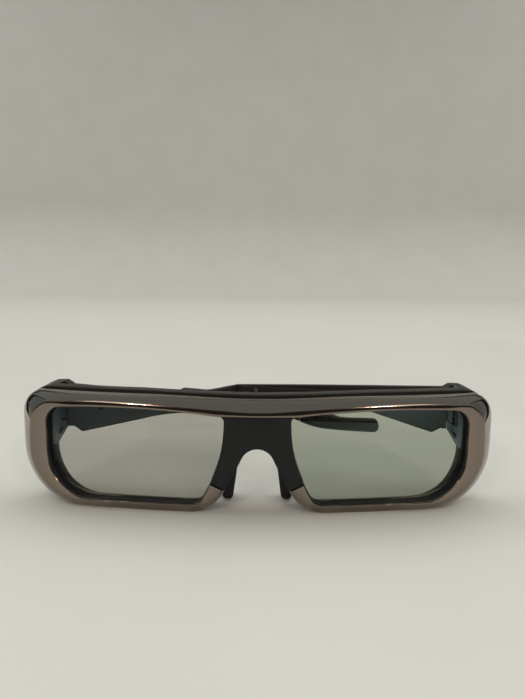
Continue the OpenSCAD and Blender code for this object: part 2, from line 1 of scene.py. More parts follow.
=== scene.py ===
# %% [markdown]
# # Active shutter glasses, dressed for the camera
#
# The measured model of the glasses comes in as a fixed frame: every piece already has its place
# and its size. This lesson builds the pieces that the eye sees on top of it, in millimetres, in
# a flat drawing of the front: x runs along the front, y is the depth behind its face, and z is
# up. One function then bends the drawing to the wrap of the front and moves it to its place.

# %% Load the frame
import math

import bmesh
import bpy
from mathutils import Matrix, Vector
from mathutils.geometry import intersect_point_line


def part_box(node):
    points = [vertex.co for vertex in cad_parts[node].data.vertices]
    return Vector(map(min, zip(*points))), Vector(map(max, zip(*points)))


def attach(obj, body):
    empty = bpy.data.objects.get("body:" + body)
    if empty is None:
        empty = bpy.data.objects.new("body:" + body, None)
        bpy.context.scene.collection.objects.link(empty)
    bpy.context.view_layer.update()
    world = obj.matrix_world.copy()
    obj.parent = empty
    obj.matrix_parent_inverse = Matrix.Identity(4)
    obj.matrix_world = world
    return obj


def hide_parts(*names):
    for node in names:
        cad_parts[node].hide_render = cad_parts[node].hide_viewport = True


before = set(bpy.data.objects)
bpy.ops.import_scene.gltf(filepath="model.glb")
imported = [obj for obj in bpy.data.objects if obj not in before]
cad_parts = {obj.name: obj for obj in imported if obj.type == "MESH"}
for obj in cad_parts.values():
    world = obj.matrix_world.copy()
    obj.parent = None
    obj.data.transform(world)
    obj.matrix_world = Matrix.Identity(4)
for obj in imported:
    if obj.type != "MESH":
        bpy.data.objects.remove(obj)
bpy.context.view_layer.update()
MM = 0.001
PIN_LOW, PIN_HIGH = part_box("hinge_pin_left")
HINGE_X = (PIN_LOW.x + PIN_HIGH.x) / 2 / MM
HINGE_DEPTH = 28.0
APEX_Y = (PIN_LOW.y + PIN_HIGH.y) / 2 / MM - HINGE_DEPTH
WRAP_R = 380.0
print("front apex at y", round(APEX_Y, 3), "mm, hinges at x", round(HINGE_X, 2), "mm")

# %% [markdown]
# ## Camera
#
# The picture was taken with a telephone about 18 cm away, a little above the glasses, and looking
# eight degrees down. A short lens close by gives the strong taper that a longer one would lose.

# %% Camera
CAMERA_AT, LOOK_DOWN, ROLL = (0.0012, -0.2141, 0.0846), 8.0, -0.6
camera = bpy.data.cameras.new("camera")
camera.sensor_width = 36.0
camera.lens = 27.09
camera.clip_start = 0.005
viewer = bpy.data.objects.new("camera", camera)
bpy.context.scene.collection.objects.link(viewer)
viewer.location = CAMERA_AT
viewer.rotation_mode = "XYZ"
viewer.rotation_euler = (math.radians(90 - LOOK_DOWN), math.radians(ROLL), 0)
bpy.context.scene.camera = viewer
bpy.context.scene.view_settings.view_transform = "Standard"
print("lens", camera.lens, "mm at", tuple(round(c, 4) for c in viewer.location))


# %% [markdown]
# ## Small helpers
#
# Colours are written as they look on a screen, in hex, and one function turns them to the linear
# values that Blender computes with. Another adds a shader node with its settings and links.

# %% Colour and node helpers
def hexa(code):
    """The linear colour of an sRGB hex code such as '6b6058'."""
    parts = [int(code[i:i + 2], 16) / 255 for i in (0, 2, 4)]
    return (*[c / 12.92 if c <= 0.04045 else ((c + 0.055) / 1.055) ** 2.4 for c in parts], 1.0)


def add(tree, kind, links=None, **settings):
    """A shader node with its settings; links maps a socket to a value or to another socket."""
    node = tree.nodes.new("ShaderNode" + kind)
    for key, value in settings.items():
        setattr(node, key, value)
    for socket, value in (links or {}).items():
        if isinstance(value, bpy.types.NodeSocket):
            tree.links.new(value, node.inputs[socket])
        else:
            node.inputs[socket].default_value = value
    return node


def new_finish(name, **sockets):
    """A material with one Principled shader, and the sockets that are the same all over."""
    material = bpy.data.materials.new(name)
    material.use_nodes = True
    shader = material.node_tree.nodes["Principled BSDF"]
    for socket, value in sockets.items():
        shader.inputs[socket.replace("_", " ")].default_value = value
    return material, material.node_tree, shader


# %% [markdown]
# A moulded surface is never one even colour: the mould's texture catches the light, and handling
# leaves it a little shinier in places. Each finish below therefore has a fine grain for its bump
# and a broad cloud for its roughness, both measured in millimetres on the object. The grit of a
# mould is about 0.05 mm, too fine to show, so it is drawn about five times as coarse.

# %% Grain and cloud shared by the finishes
NOISE_LOW, NOISE_HIGH = 0.3, 0.7  # most of a noise's values lie between these


def grain(material, shader, grit_mm, height_mm, rough, sway, cloud_mm=14.0):
    """Bump of the given grit, and roughness that drifts by sway in clouds of the given size."""
    tree = material.node_tree
    place = add(tree, "TexCoord").outputs["Object"]
    grit = add(tree, "TexNoise", {"Vector": place, "Scale": 1 / (grit_mm * MM), "Detail": 3.0})
    cloud = add(tree, "TexNoise", {"Vector": place, "Scale": 1 / (cloud_mm * MM), "Detail": 4.0})
    drift = add(tree, "MapRange", {"Value": cloud.outputs["Fac"], "From Min": NOISE_LOW,
                                   "From Max": NOISE_HIGH, "To Min": rough - sway, "To Max": rough + sway})
    tree.links.new(drift.outputs["Result"], shader.inputs["Roughness"])
    bump = add(tree, "Bump", {"Height": grit.outputs["Fac"], "Distance": height_mm * MM,
                              "Strength": 1.0})
    tree.links.new(bump.outputs["Normal"], shader.inputs["Normal"])
    return place, cloud


# %% [markdown]
# ### Bronze lacquer
#
# The front is ABS with a bronze metallic lacquer under a clear coat: the flakes give a warm
# brown where it faces the room, and the coat gives sharp, colourless reflections on the brow. Real
# flakes are about 0.05 mm across and are drawn seven times as coarse, so that they show at all.

# %% Bronze lacquer
FLAKE_MM = 0.35
bronze, tree, shader = new_finish("bronze_metallic_lacquer", Metallic=1.0, Coat_Weight=1.0,
                                  Coat_Roughness=0.03, Coat_IOR=1.6)
place, _ = grain(bronze, shader, grit_mm=0.5, height_mm=0.0006, rough=0.13, sway=0.02)
flake = add(tree, "TexNoise", {"Vector": place, "Scale": 1 / (FLAKE_MM * MM), "Detail": 2.0})
tone = add(tree, "ValToRGB", {"Fac": flake.outputs["Fac"]})
tone.color_ramp.elements[0].position = NOISE_LOW
tone.color_ramp.elements[0].color = hexa("726559")
tone.color_ramp.elements[1].position = NOISE_HIGH
tone.color_ramp.elements[1].color = hexa("7e7064")
tree.links.new(tone.outputs["Color"], shader.inputs["Base Color"])
print("finish", bronze.name)

# %% [markdown]
# ### Dark plastics and rubbers
#
# The bridge window is satin black ABS that lets infrared through. The rear frame is a brown grey
# ABS, the temples a blue grey one, and the tips have a soft-touch paint. The blue grey is drawn
# lighter than the temples are, as painted light for the covers that lie in shade behind the lenses.
# Gaskets and nose pads are matt rubber. They differ in colour, in grit and in how tight their
# highlight is.

# %% Dark plastics and rubbers
# Each: colour, roughness and its drift, grit and its height in mm, gloss
DARK_FINISHES = {
    "satin_black_abs": ("101314", 0.42, 0.05, 0.25, 0.004, 0.3),  # an even black with a wide soft sheen
    # painted shade: the inner walls of the bezel's openings are near black for the shade inside them
    "wall_painted_shade": ("15171a", 0.5, 0.04, 0.3, 0.004, 0.4),  # the shaded inside of the openings
    "gasket_rubber": ("121415", 0.62, 0.05, 0.3, 0.006, 0.3),  # a dull black line round the glass
    "joint_black_paint": ("060707", 0.75, 0.03, 0.3, 0.002, 0.05),  # a joint that gives no light back
    "frame_brown_grey_abs": ("211f1c", 0.42, 0.05, 0.3, 0.004, 0.25),  # warm dark grey, softly lit on top
    # painted light: the temples' blue grey is drawn lighter than their own colour, for light that hardly
    # reaches the covers behind the lenses; the tips share it
    "temple_blue_grey_lightened": ("7c8b98", 0.46, 0.05, 0.3, 0.006, 0.4),  # cool grey, seen through the smoke
    "soft_touch_tip_lightened": ("7c8b98", 0.55, 0.04, 0.25, 0.006, 0.3),  # the same grey with no highlight
    "nose_pad_silicone": ("141517", 0.5, 0.05, 0.3, 0.005, 0.4),  # black with a broad grey sheen
    "button_abs": ("26292b", 0.4, 0.05, 0.25, 0.004, 0.5),  # a shade lighter than the frame
}
SHADE_SWAY = 0.14  # how far the colour drifts with the cloud
dark = {}
for name, (code, rough, sway, grit, height, gloss) in DARK_FINISHES.items():
    material, tree, shader = new_finish(name, Specular_IOR_Level=gloss)
    _, cloud = grain(material, shader, grit, height, rough, sway)
    tone = add(tree, "ValToRGB", {"Fac": cloud.outputs["Fac"]})
    deep = hexa(code)
    tone.color_ramp.elements[0].position = NOISE_LOW
    tone.color_ramp.elements[0].color = (*[c * (1 - SHADE_SWAY) for c in deep[:3]], 1.0)
    tone.color_ramp.elements[1].position = NOISE_HIGH
    tone.color_ramp.elements[1].color = (*[c * (1 + SHADE_SWAY) for c in deep[:3]], 1.0)
    tree.links.new(tone.outputs["Color"], shader.inputs["Base Color"])
    dark[name] = material
print("finishes", sorted(dark))

# %% [markdown]
# ### Shutter glass
#
# Each lens is a pair of plates with liquid crystal and polarising film between them. It looks
# like smoke: about half of the light gets through, a little grey light comes back, and the two
# sides differ slightly in tint because the films differ. A few specks of dust lie on it. Light
# passes four faces of glass, so each face has the fourth root of the whole tint.

# %% Shutter glass
SMEAR_MM, DUST_MM, SPECK_R = 9, 7, 0.04  # wiping marks, dust spacing, and a speck's share of that
glass = {}
for side, tint in (("right", "ededeb"), ("left", "ebede9")):
    material, tree, shader = new_finish("shutter_glass_" + side, Metallic=0.5)
    shader.inputs["Base Color"].default_value = hexa("c8c9c4")
    place = add(tree, "TexCoord").outputs["Object"]
    smear = add(tree, "TexNoise", {"Vector": place, "Scale": 1 / (SMEAR_MM * MM), "Detail": 5.0})
    rough = add(tree, "MapRange", {"Value": smear.outputs["Fac"], "To Min": 0.02, "To Max": 0.12})
    tree.links.new(rough.outputs["Result"], shader.inputs["Roughness"])
    dust = add(tree, "TexVoronoi", {"Vector": place, "Scale": 1 / (DUST_MM * MM), "Randomness": 1.0})
    speck = add(tree, "MapRange", {"Value": dust.outputs["Distance"], "From Min": SPECK_R / 2,
                                   "From Max": SPECK_R, "To Min": 0.1, "To Max": 0.0})
    sheen = add(tree, "Fresnel", {"IOR": 1.2})
    solid = add(tree, "Math", {0: speck.outputs["Result"], 1: sheen.outputs["Fac"]}, operation="ADD")
    film = add(tree, "BsdfTransparent", {"Color": hexa(tint)})
    both = add(tree, "MixShader", {"Fac": solid.outputs["Value"], 1: film.outputs["BSDF"],
                                   2: shader.outputs["BSDF"]})
    tree.links.new(both.outputs["Shader"], tree.nodes["Material Output"].inputs["Surface"])
    glass[side] = material
print("finishes", [m.name for m in glass.values()])

# %% [markdown]
# ### Metals and inner parts
#
# Screws and pins are plain steel, the cell is in pouch foil, the boards have green solder mask,
# the flat cable is amber polyimide film. They are mostly hidden, but show where the glasses open.

# %% Metals and inner parts
# Each: colour, roughness, metallic, grit in mm
INNER_FINISHES = {
    "zinc_plated_steel": ("a9abad", 0.3, 1.0, 0.2),  # bright, slightly blurred
    "phosphated_steel": ("5d6164", 0.45, 0.8, 0.2),  # a dull grey screw head
    "pouch_foil": ("b9bbbe", 0.35, 1.0, 0.6),  # silvery with soft creases
    "solder_mask": ("1c4a33", 0.3, 0.0, 0.4),  # shiny dark green
    "polyimide_film": ("a96f2a", 0.3, 0.0, 0.5),  # shiny amber
    "clear_acrylic": ("d4dbd6", 0.1, 0.0, 0.5),  # a pale glossy dot
    "inlay_grey_chrome": ("64635e", 0.2, 0.6, 0.4),  # half a mirror, so it darkens with the room
}
GRIT_HEIGHT, GRIT_SWAY = 0.003, 0.05
inner = {}
for name, (code, rough, metal, grit) in INNER_FINISHES.items():
    material, tree, shader = new_finish(name, Metallic=metal)
    grain(material, shader, grit, GRIT_HEIGHT, rough, GRIT_SWAY)
    shader.inputs["Base Color"].default_value = hexa(code)
    inner[name] = material
print("finishes", sorted(inner))


# %% [markdown]
# ## From drawing to object
#
# Every piece is a bmesh in millimetres. bend() rolls a flat drawing round the upright axis that
# the front is moulded to, and settle() turns a bmesh into an object on its body.

# %% Bend, push and settle
def bend(bm):
    """Rolls a flat drawing to the wrap of the front: y is the depth behind the face."""
    for v in bm.verts:
        v.co.y = WRAP_R - math.sqrt((WRAP_R - v.co.y) ** 2 - v.co.x ** 2)


def push(bm, ring, places, closed=True):
    """Extrudes a row of vertices and puts the new ones at the given places."""
    pairs = list(zip(ring, ring[1:])) + ([(ring[-1], ring[0])] if closed else [])
    made = bmesh.ops.extrude_edge_only(bm, edges=[bm.edges.get(p) for p in pairs])["geom"]
    fresh = {v for v in made if isinstance(v, bmesh.types.BMVert)}
    row = []
    for v, place in zip(ring, places):
        w = next(e.other_vert(v) for e in v.link_edges if e.other_vert(v) in fresh)
        w.co = place
        row.append(w)
    return row


def row_of(bm, places, closed=True):
    """A row of new vertices joined by edges."""
    row = [bm.verts.new(p) for p in places]
    for a, b in zip(row, row[1:]):
        bm.edges.new((a, b))
    if closed:
        bm.edges.new((row[-1], row[0]))
    return row


def settle(bm, name, body, finishes, stands_for=(), crisp=38.0):
    """Makes the object of a piece, in metres, and lets it ride on its body."""
    bmesh.ops.recalc_face_normals(bm, faces=bm.faces)
    for v in bm.verts:
        v.co = (v.co.x * MM, (v.co.y + APEX_Y) * MM, max(v.co.z, 0.0) * MM)
    mesh = bpy.data.meshes.new(name)
    bm.to_mesh(mesh)
    bm.free()
    for finish in finishes:
        mesh.materials.append(finish)
    mesh.shade_smooth()
    mesh.set_sharp_from_angle(angle=math.radians(crisp))
    piece = bpy.data.objects.new(name, mesh)
    bpy.context.scene.collection.objects.link(piece)
    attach(piece, body)
    if stands_for:
        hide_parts(*stands_for)
    print(name, len(mesh.polygons), "faces")


# %% [markdown]
# ## Outlines of the front
#
# The lens openings, the arch and the foot are made of arcs and the straight lines between them, as
# in the measured model. An opening is a function of how far it is grown, so that a rounded rim
# can follow it ring by ring.

# %% Arcs and belts
HALF_W, BROW_Z, BROW_DIP, BROW_FLAT = 87.5, 42.2, 1.0, 42.0
LOW_R, TOP_R, FOOT_X, FOOT_R, ARCH_Z, ARCH_R = 23.0, 8.2, 10.0, 15.0, 24.2, 6.0
ARCH_TURN = math.degrees(math.atan2(FOOT_R - ARCH_Z + ARCH_R, FOOT_X + FOOT_R) + math.acos(
    (ARCH_R + FOOT_R) / math.hypot(FOOT_X + FOOT_R, FOOT_R - ARCH_Z + ARCH_R)))
RIM_LOW, OPEN_OUT, OPEN_PEAK, BRIDGE_X = 3.6, 76.7, 38.0, 11.8
TOP_EDGE_R, TOP_EDGE_X, SIDE_R = 300.0, 50.0, 55.0


def top_edge(x, r=0.0):
    """Height of an opening's arched top edge, or of the centre of a corner that touches it."""
    return OPEN_PEAK - TOP_EDGE_R + math.sqrt((TOP_EDGE_R - r) ** 2 - (TOP_EDGE_X - x) ** 2)


def side_edge(z):
    """How far from the middle an opening's curved side by the nose is at a height."""
    return BRIDGE_X + SIDE_R - math.sqrt(SIDE_R ** 2 - (BROW_CORNER[1] - z) ** 2)


# The corners of an opening: centre x and z, and radius
BROW_IN_R, NOSE_IN_R, LOW_IN_R, TOP_IN_R = 2.0, 5.0, 17.0, 6.0
BROW_CORNER = (BRIDGE_X + BROW_IN_R, top_edge(BRIDGE_X + BROW_IN_R, BROW_IN_R), BROW_IN_R)
NOSE_RISE = BROW_CORNER[1] - RIM_LOW - NOSE_IN_R
NOSE_CORNER = (BRIDGE_X + SIDE_R - math.sqrt((SIDE_R - NOSE_IN_R) ** 2 - NOSE_RISE ** 2),
               RIM_LOW + NOSE_IN_R, NOSE_IN_R)
LOW_CORNER = (OPEN_OUT - LOW_IN_R, RIM_LOW + LOW_IN_R, LOW_IN_R)
TOP_CORNER = (OPEN_OUT - TOP_IN_R, top_edge(OPEN_OUT - TOP_IN_R, TOP_IN_R), TOP_IN_R)


def arc(cx, cz, r, start, end, steps=12):
    """Points on an arc, with angles in degrees."""
    turns = [math.radians(start + (end - start) * i / steps) for i in range(steps + 1)]
    return [(cx + r * math.cos(a), cz + r * math.sin(a)) for a in turns]


def belt(circles, grow):
    """The outline of a belt round circles, anticlockwise, grown outwards."""
    def lean(a, b):
        dx, dz = b[0] - a[0], b[1] - a[1]
        gain = max(-1.0, min(1.0, (a[2] - b[2]) / math.hypot(dx, dz)))
        return math.degrees(math.atan2(dz, dx) - math.acos(gain))
    points = []
    for i, c in enumerate(circles):
        start = lean(circles[i - 1], c)
        end = lean(c, circles[(i + 1) % len(circles)])
        points += arc(c[0], c[1], c[2] + grow, start, start + (end - start) % 360)
    return points


def opening(side, grow=0.0):
    """Outline of one lens opening, as x and z."""
    circles = (NOSE_CORNER, LOW_CORNER, TOP_CORNER, (TOP_EDGE_X, OPEN_PEAK - TOP_EDGE_R, TOP_EDGE_R),
               BROW_CORNER, (BRIDGE_X + SIDE_R, BROW_CORNER[1], SIDE_R))
    return [(side * x, z) for x, z in belt(circles, grow)]


def brow_edge(x):
    """Height of the top edge of the bezel, which dips smoothly at the middle."""
    share = min(abs(x) / BROW_FLAT, 1.0)
    return BROW_Z - BROW_DIP * (1 - share * share * (3 - 2 * share))


print("opening", len(opening(1)), "points")


# %% [markdown]
# ## The bezel
#
# One glossy shell makes the brow and both rims. It could be cut from a solid, but its look is in
# how the light runs along it: a flat facet that faces the viewer, a crease, and a rounded back
# slope whose depth changes from the brow to the sides to the foot. So a section is pushed along
# the rim, station by station, and each station says where the inner edge, the crease and the
# silhouette are, and how deep the slope goes.

# %% Paths through points
def mix(a, b, t):
    """The point a share t of the way from a to b."""
    return tuple(p + (q - p) * t for p, q in zip(a, b))


def smooth_path(points, steps):
    """A Catmull-Rom path through points, with steps between each two."""
    ends = [mix(points[1], points[0], 2)] + list(points) + [mix(points[-2], points[-1], 2)]
    path = []
    for p, q, r, s in zip(ends, ends[1:], ends[2:], ends[3:]):
        for i in range(steps):
            t = i / steps
            path.append(tuple(
                0.5 * (2 * b + (c - a) * t + (2 * a - 5 * b + 4 * c - d) * t * t
                       + (3 * b - a - 3 * c + d) * t ** 3)
                for a, b, c, d in zip(p, q, r, s)))
    return path + [points[-1]]


# %% [markdown]
# The key stations follow one rim from the middle of the brow, round the top corner, down the side,
# along the bottom and round the foot to the joint with the bridge window. Each holds x and z of the
# inner edge, of the crease and of the silhouette, and then the depth of the back slope.

# %% Stations along one rim
BROW_SLOPE_D, SIDE_SLOPE_D, FOOT_SLOPE_D, CORNER_LOSS = 7.3, 4.6, 2.2, 2.6
CREASE_CORNER = (73.3, 29.6, 9.6)
SIDE_CREASE, FOOT_CREASE, CREASE_GAIN, FOOT_GAIN = 4.4, 2.5, 1.9, 0.25
FOOT_TURN, FOOT_STEPS, FOOT_END = 46, 4, -146
NEAR_JOINT_Z, JOINT_Z, JOINT_INSET, JOINT_CREASE = 8.6, 11.2, 1.5, 0.26
BRIDGE_TOP = ((0, 35.72, 37.25), (6, 35.76, 37.4), (11, 35.8, 37.75))
keys = [(x, z, x, crease_z, x, brow_edge(x), BROW_SLOPE_D) for x, z, crease_z in BRIDGE_TOP]
BROW_CREASE = ((14, 37.95), (20, 38.4), (28, 38.95), (38, 39.45), (48, 39.7), (58, 39.75), (66, 39.5))
for x, crease_z in BROW_CREASE:
    keys.append((x, top_edge(x), x, crease_z, x, brow_edge(x), BROW_SLOPE_D))
for turn in (86, 69, 52, 35, 17, 0):
    share = 1 - turn / 90
    inner_edge = arc(*TOP_CORNER, turn, turn, 1)[0]
    crease = arc(*CREASE_CORNER, turn, turn, 1)[0]
    outer_edge = arc(HALF_W - TOP_R, BROW_Z - TOP_R, TOP_R, turn, turn, 1)[0]
    keys.append((*inner_edge, *crease, *outer_edge, BROW_SLOPE_D - CORNER_LOSS * share))
keys.append((OPEN_OUT, 26, 83.0, 26, HALF_W, 27, SIDE_SLOPE_D))
for turn in (0, -15, -30, -45, -60, -75, -90):
    share = (-turn / 90) ** 0.8
    inner_edge = arc(*LOW_CORNER, turn, turn, 1)[0]
    outer_edge = arc(HALF_W - LOW_R, LOW_R, LOW_R, turn, turn, 1)[0]
    crease = arc(HALF_W - LOW_R, LOW_R, LOW_R - SIDE_CREASE + CREASE_GAIN * share, turn, turn, 1)[0]
    deep = SIDE_SLOPE_D + (FOOT_SLOPE_D - SIDE_SLOPE_D) * share
    keys.append((*inner_edge, *crease, *outer_edge, deep))
for x in (46, 33):
    keys.append((x, RIM_LOW, x, FOOT_CREASE, x, 0, FOOT_SLOPE_D))
FOOT = (FOOT_X + FOOT_R, FOOT_R)
NOSE_TURN = math.degrees(math.asin((BROW_CORNER[1] - NOSE_CORNER[1]) / (SIDE_R - NOSE_CORNER[2]))) - 180
for i in range(FOOT_STEPS + 1):
    inner_edge = arc(*NOSE_CORNER, 0, -90 + (NOSE_TURN + 90) * i / FOOT_STEPS, 1)[1]
    turn = -90 - FOOT_TURN * i / FOOT_STEPS
    outer_edge = arc(*FOOT, FOOT_R, 0, turn, 1)[1]
    crease = arc(*FOOT, FOOT_R - FOOT_CREASE + FOOT_GAIN * i, 0, turn, 1)[1]
    keys.append((*inner_edge, *crease, *outer_edge, FOOT_SLOPE_D))
outer_edge = arc(*FOOT, FOOT_R, 0, FOOT_END, 1)[1]
crease = arc(*FOOT, FOOT_R - JOINT_INSET, 0, FOOT_END, 1)[1]
keys.append((side_edge(NEAR_JOINT_Z), NEAR_JOINT_Z, *crease, *outer_edge, FOOT_SLOPE_D))
JOINT_IN, JOINT_OUT = (side_edge(JOINT_Z), JOINT_Z), (11.38, 8.67)
keys.append((*JOINT_IN, *mix(JOINT_OUT, JOINT_IN, JOINT_CREASE), *JOINT_OUT, FOOT_SLOPE_D))
STEPS = 10
stations = smooth_path(keys, STEPS)
print(len(stations), "stations along each rim")


# %% [markdown]
# The section starts on the inner wall, turns over a small fillet to the facet, runs over the
# crease and down the back slope to the parting line, and comes back round the lens seat, so that
# the shell is closed. The slope leaves the facet at a clear angle, and a small rounding between
# the two catches every lamp in front as a bright line.

# %% Crease and back slope
BROW_LEAN, FOOT_LEAN, LEAN_UP_FROM, LEAN_DOWN_FROM = 0.2, 1.05, 0.4, 0.5
SLOPE_TURN, MOST_LIFT = 32.0, 0.9


def crease_of(station):
    """The crease: the facet leans back to it over the lenses, and more so under them."""
    ix, iz, cx, cz = station[:4]
    width = math.hypot(cx - ix, cz - iz)
    up = max(0.0, (cz - iz) / width - LEAN_UP_FROM) / (1 - LEAN_UP_FROM)
    down = max(0.0, (iz - cz) / width - LEAN_DOWN_FROM) / (1 - LEAN_DOWN_FROM)
    return Vector((cx, (BROW_LEAN * up + FOOT_LEAN * down) * width, cz))


def slope_point(station, share):
    """A point of the back slope: share 0 is the crease and 1 the silhouette."""
    sx, sz, deep = station[4:]
    crease = crease_of(station)
    lift = math.hypot(sx - crease.x, sz - crease.z) * math.tan(math.radians(SLOPE_TURN))
    middle = Vector((sx, crease.y + min(lift, MOST_LIFT * (deep - crease.y)), sz))
    return crease.lerp(middle, share).lerp(middle.lerp(Vector((sx, deep, sz)), share), share)


print("crease", round(crease_of(stations[0]).y, 2), "mm behind the face at the middle of the brow")

# %% Sections of the bezel
BEZEL_D, LIP_D, SEAT = 7.6, 3.6, 1.8
SLOPE_STEPS, CREASE_STEPS, CREASE_R = 10, 4, 0.45
FILLET, WALL_MID, BACK_EDGE, BACK_ROUND = 0.5, 1.6, 0.25, 0.15


def bezel_section(station):
    """The closed section at a station."""
    ix, iz, cx, cz, sx, sz = station[:6]
    inner_edge, crease = Vector((ix, 0, iz)), crease_of(station)
    silhouette = Vector((sx, 0, sz))
    across = Vector((cx - ix, 0, cz - iz)).normalized()
    out = Vector((sx - cx, 0, sz - cz)).normalized()
    facet = (crease - inner_edge).normalized()
    back = Vector((0, 1, 0))
    fillet = min(FILLET, (crease - inner_edge).length * 0.4)
    points = [inner_edge + back * LIP_D, inner_edge + back * WALL_MID, inner_edge + back * fillet]
    for step in (1, 2, 3):
        turn = math.radians(30 * step)
        points.append(inner_edge + facet * fillet * (1 - math.cos(turn))
                      + back * fillet * (1 - math.sin(turn)))
    begin = CREASE_R / (2 * math.hypot(sx - cx, sz - cz))
    before, after = crease - facet * CREASE_R, slope_point(station, begin)
    for i in range(CREASE_STEPS):
        share = i / CREASE_STEPS
        points.append(before.lerp(crease, share).lerp(crease.lerp(after, share), share))
    points += [slope_point(station, begin + (1 - begin) * i / SLOPE_STEPS)
               for i in range(SLOPE_STEPS + 1)]
    points.append(silhouette + back * (BEZEL_D - BACK_ROUND))
    points.append(silhouette - out * BACK_EDGE + back * BEZEL_D)
    seat = min(SEAT, (silhouette - inner_edge).length * 0.5)
    points.append(inner_edge + across * seat + back * BEZEL_D)
    points.append(inner_edge + across * seat + back * LIP_D)
    return points


print(len(bezel_section(stations[0])), "points in each section")

# %% Bezel
bm = bmesh.new()
ring = row_of(bm, bezel_section(stations[0]))
walls = set(ring[:3])
for station in stations[1:]:
    ring = push(bm, ring, bezel_section(station))
    walls |= set(ring[:3])
bm.faces.new(ring)
# faces on the inner walls take the near-black painted shade, the rest take the bronze
for face in bm.faces:
    face.material_index = 1 if all(v in walls for v in face.verts) else 0
bmesh.ops.mirror(bm, geom=bm.verts[:] + bm.edges[:] + bm.faces[:], axis="X", merge_dist=0.001)
bend(bm)
settle(bm, "bezel", "frame", [bronze, dark["wall_painted_shade"]], ["front_bezel"], crisp=50)

# %% [markdown]
# ## Flat pieces with a rounded rim
#
# Lens plates, gaskets, the bridge window, temples and nose pads are all mouldings with an outline
# and a rounded edge. One function makes them: it pushes the outline ring by ring round the edge,
# fills both faces, and slices the plate finely enough to bend.

# %% Outlines drawn in and rounded
MITRE = 0.5  # a sharper corner isn't drawn in any further


def drawn_in(outline, inset):
    """The outline moved inwards by inset, corner by corner."""
    area = sum(a[0] * b[1] - b[0] * a[1] for a, b in zip(outline, outline[1:] + outline[:1]))
    sign = 1 if area > 0 else -1
    moved = []
    for i, here in enumerate(outline):
        before, after = Vector(outline[i - 1]), Vector(outline[(i + 1) % len(outline)])
        first = (Vector(here) - before).normalized()
        second = (after - Vector(here)).normalized()
        along = (first + second).normalized()
        reach = inset / max(MITRE, along.dot(first)) * sign
        moved.append((here[0] - along.y * reach, here[1] + along.x * reach))
    return moved


def rounded(corners, steps=6):
    """A closed outline round corners (x, z, reach), each rounded from that far before it."""
    outline = []
    for i, (x, z, reach) in enumerate(corners):
        here, after = Vector((x, z)), Vector(corners[(i + 1) % len(corners)][:2])
        before = Vector(corners[i - 1][:2])
        a = here + (before - here).normalized() * reach
        b = here + (after - here).normalized() * reach
        outline += [tuple(a.lerp(here, k / steps).lerp(here.lerp(b, k / steps), k / steps))
                    for k in range(steps + 1)]
    return outline


# %% Plates
HALF_SPAN = 90  # slices reach this far from the middle


def plate(bm, shapes, rims, slice_mm=None):
    """A plate in x and z. A shape gives its ring for an inset, and those after the first are
    holes. Rims are (inset, depth), from the front face round the edge to the back face."""
    old = set(bm.verts)
    faces = ([], [])
    for shape in shapes:
        ring = row_of(bm, [(x, rims[0][1], z) for x, z in shape(rims[0][0])])
        first = ring
        for inset, depth in rims[1:]:
            ring = push(bm, ring, [(x, depth, z) for x, z in shape(inset)])
        for loops, row in zip(faces, (first, ring)):
            loops += [bm.edges.get(pair) for pair in zip(row, row[1:] + row[:1])]
    for loops in faces:
        bmesh.ops.triangle_fill(bm, use_beauty=True, edges=loops)
    if slice_mm:
        for i in range(-int(HALF_SPAN / slice_mm), int(HALF_SPAN / slice_mm) + 1):
            new = [v for v in bm.verts if v not in old]
            edges = list(dict.fromkeys(e for v in new for e in v.link_edges))
            sheets = list(dict.fromkeys(f for v in new for f in v.link_faces))
            bmesh.ops.bisect_plane(bm, geom=new + edges + sheets, dist=0.0001,
                                   plane_co=(i * slice_mm, 0, 0), plane_no=(1, 0, 0))
    return [v for v in bm.verts if v not in old]


# %% [markdown]
# ## Bridge window
#
# The black moulding between the lenses hides the infrared receiver. It fills the bridge under the
# brow and runs down both sides of the nose arch to slanted joints with the rims, half a
# millimetre behind the bezel's face, with a fine rounded edge that draws a bright line.

# %% Bridge window
SEAM = 0.04
window_half = arc(0, ARCH_Z - ARCH_R, ARCH_R, 90, ARCH_TURN, 10)
window_half += [(x - SEAM / 2, z + SEAM) for x, z in (JOINT_OUT, JOINT_IN)]
window_half += [(side_edge(z), z) for z in (13, 16, 19, 22, 25, 28, 31)]
window_half += arc(*BROW_CORNER, 180, 118, 5)
window_half += [(x, z - SEAM) for x, z, _ in reversed(BRIDGE_TOP)]
window_outline = window_half + [(-x, z) for x, z in reversed(window_half[1:-1])]
WINDOW_RIMS = [(0.45, 0.5), (0.2, 0.57), (0.05, 0.75), (0, 1.0), (0, 7.5)]
bm = bmesh.new()
plate(bm, [lambda inset: drawn_in(window_outline, inset)], WINDOW_RIMS, 3.0)
bend(bm)
settle(bm, "bridge_moulding", "frame", [dark["satin_black_abs"]], ["bridge_window"])

# %% [markdown]
# ## Shutters and gaskets
#
# Behind each opening a black gasket holds two glass plates. Both follow the opening's outline,
# and the gasket shows as a fine black border at the outer side, where the wall is seen at a slant.

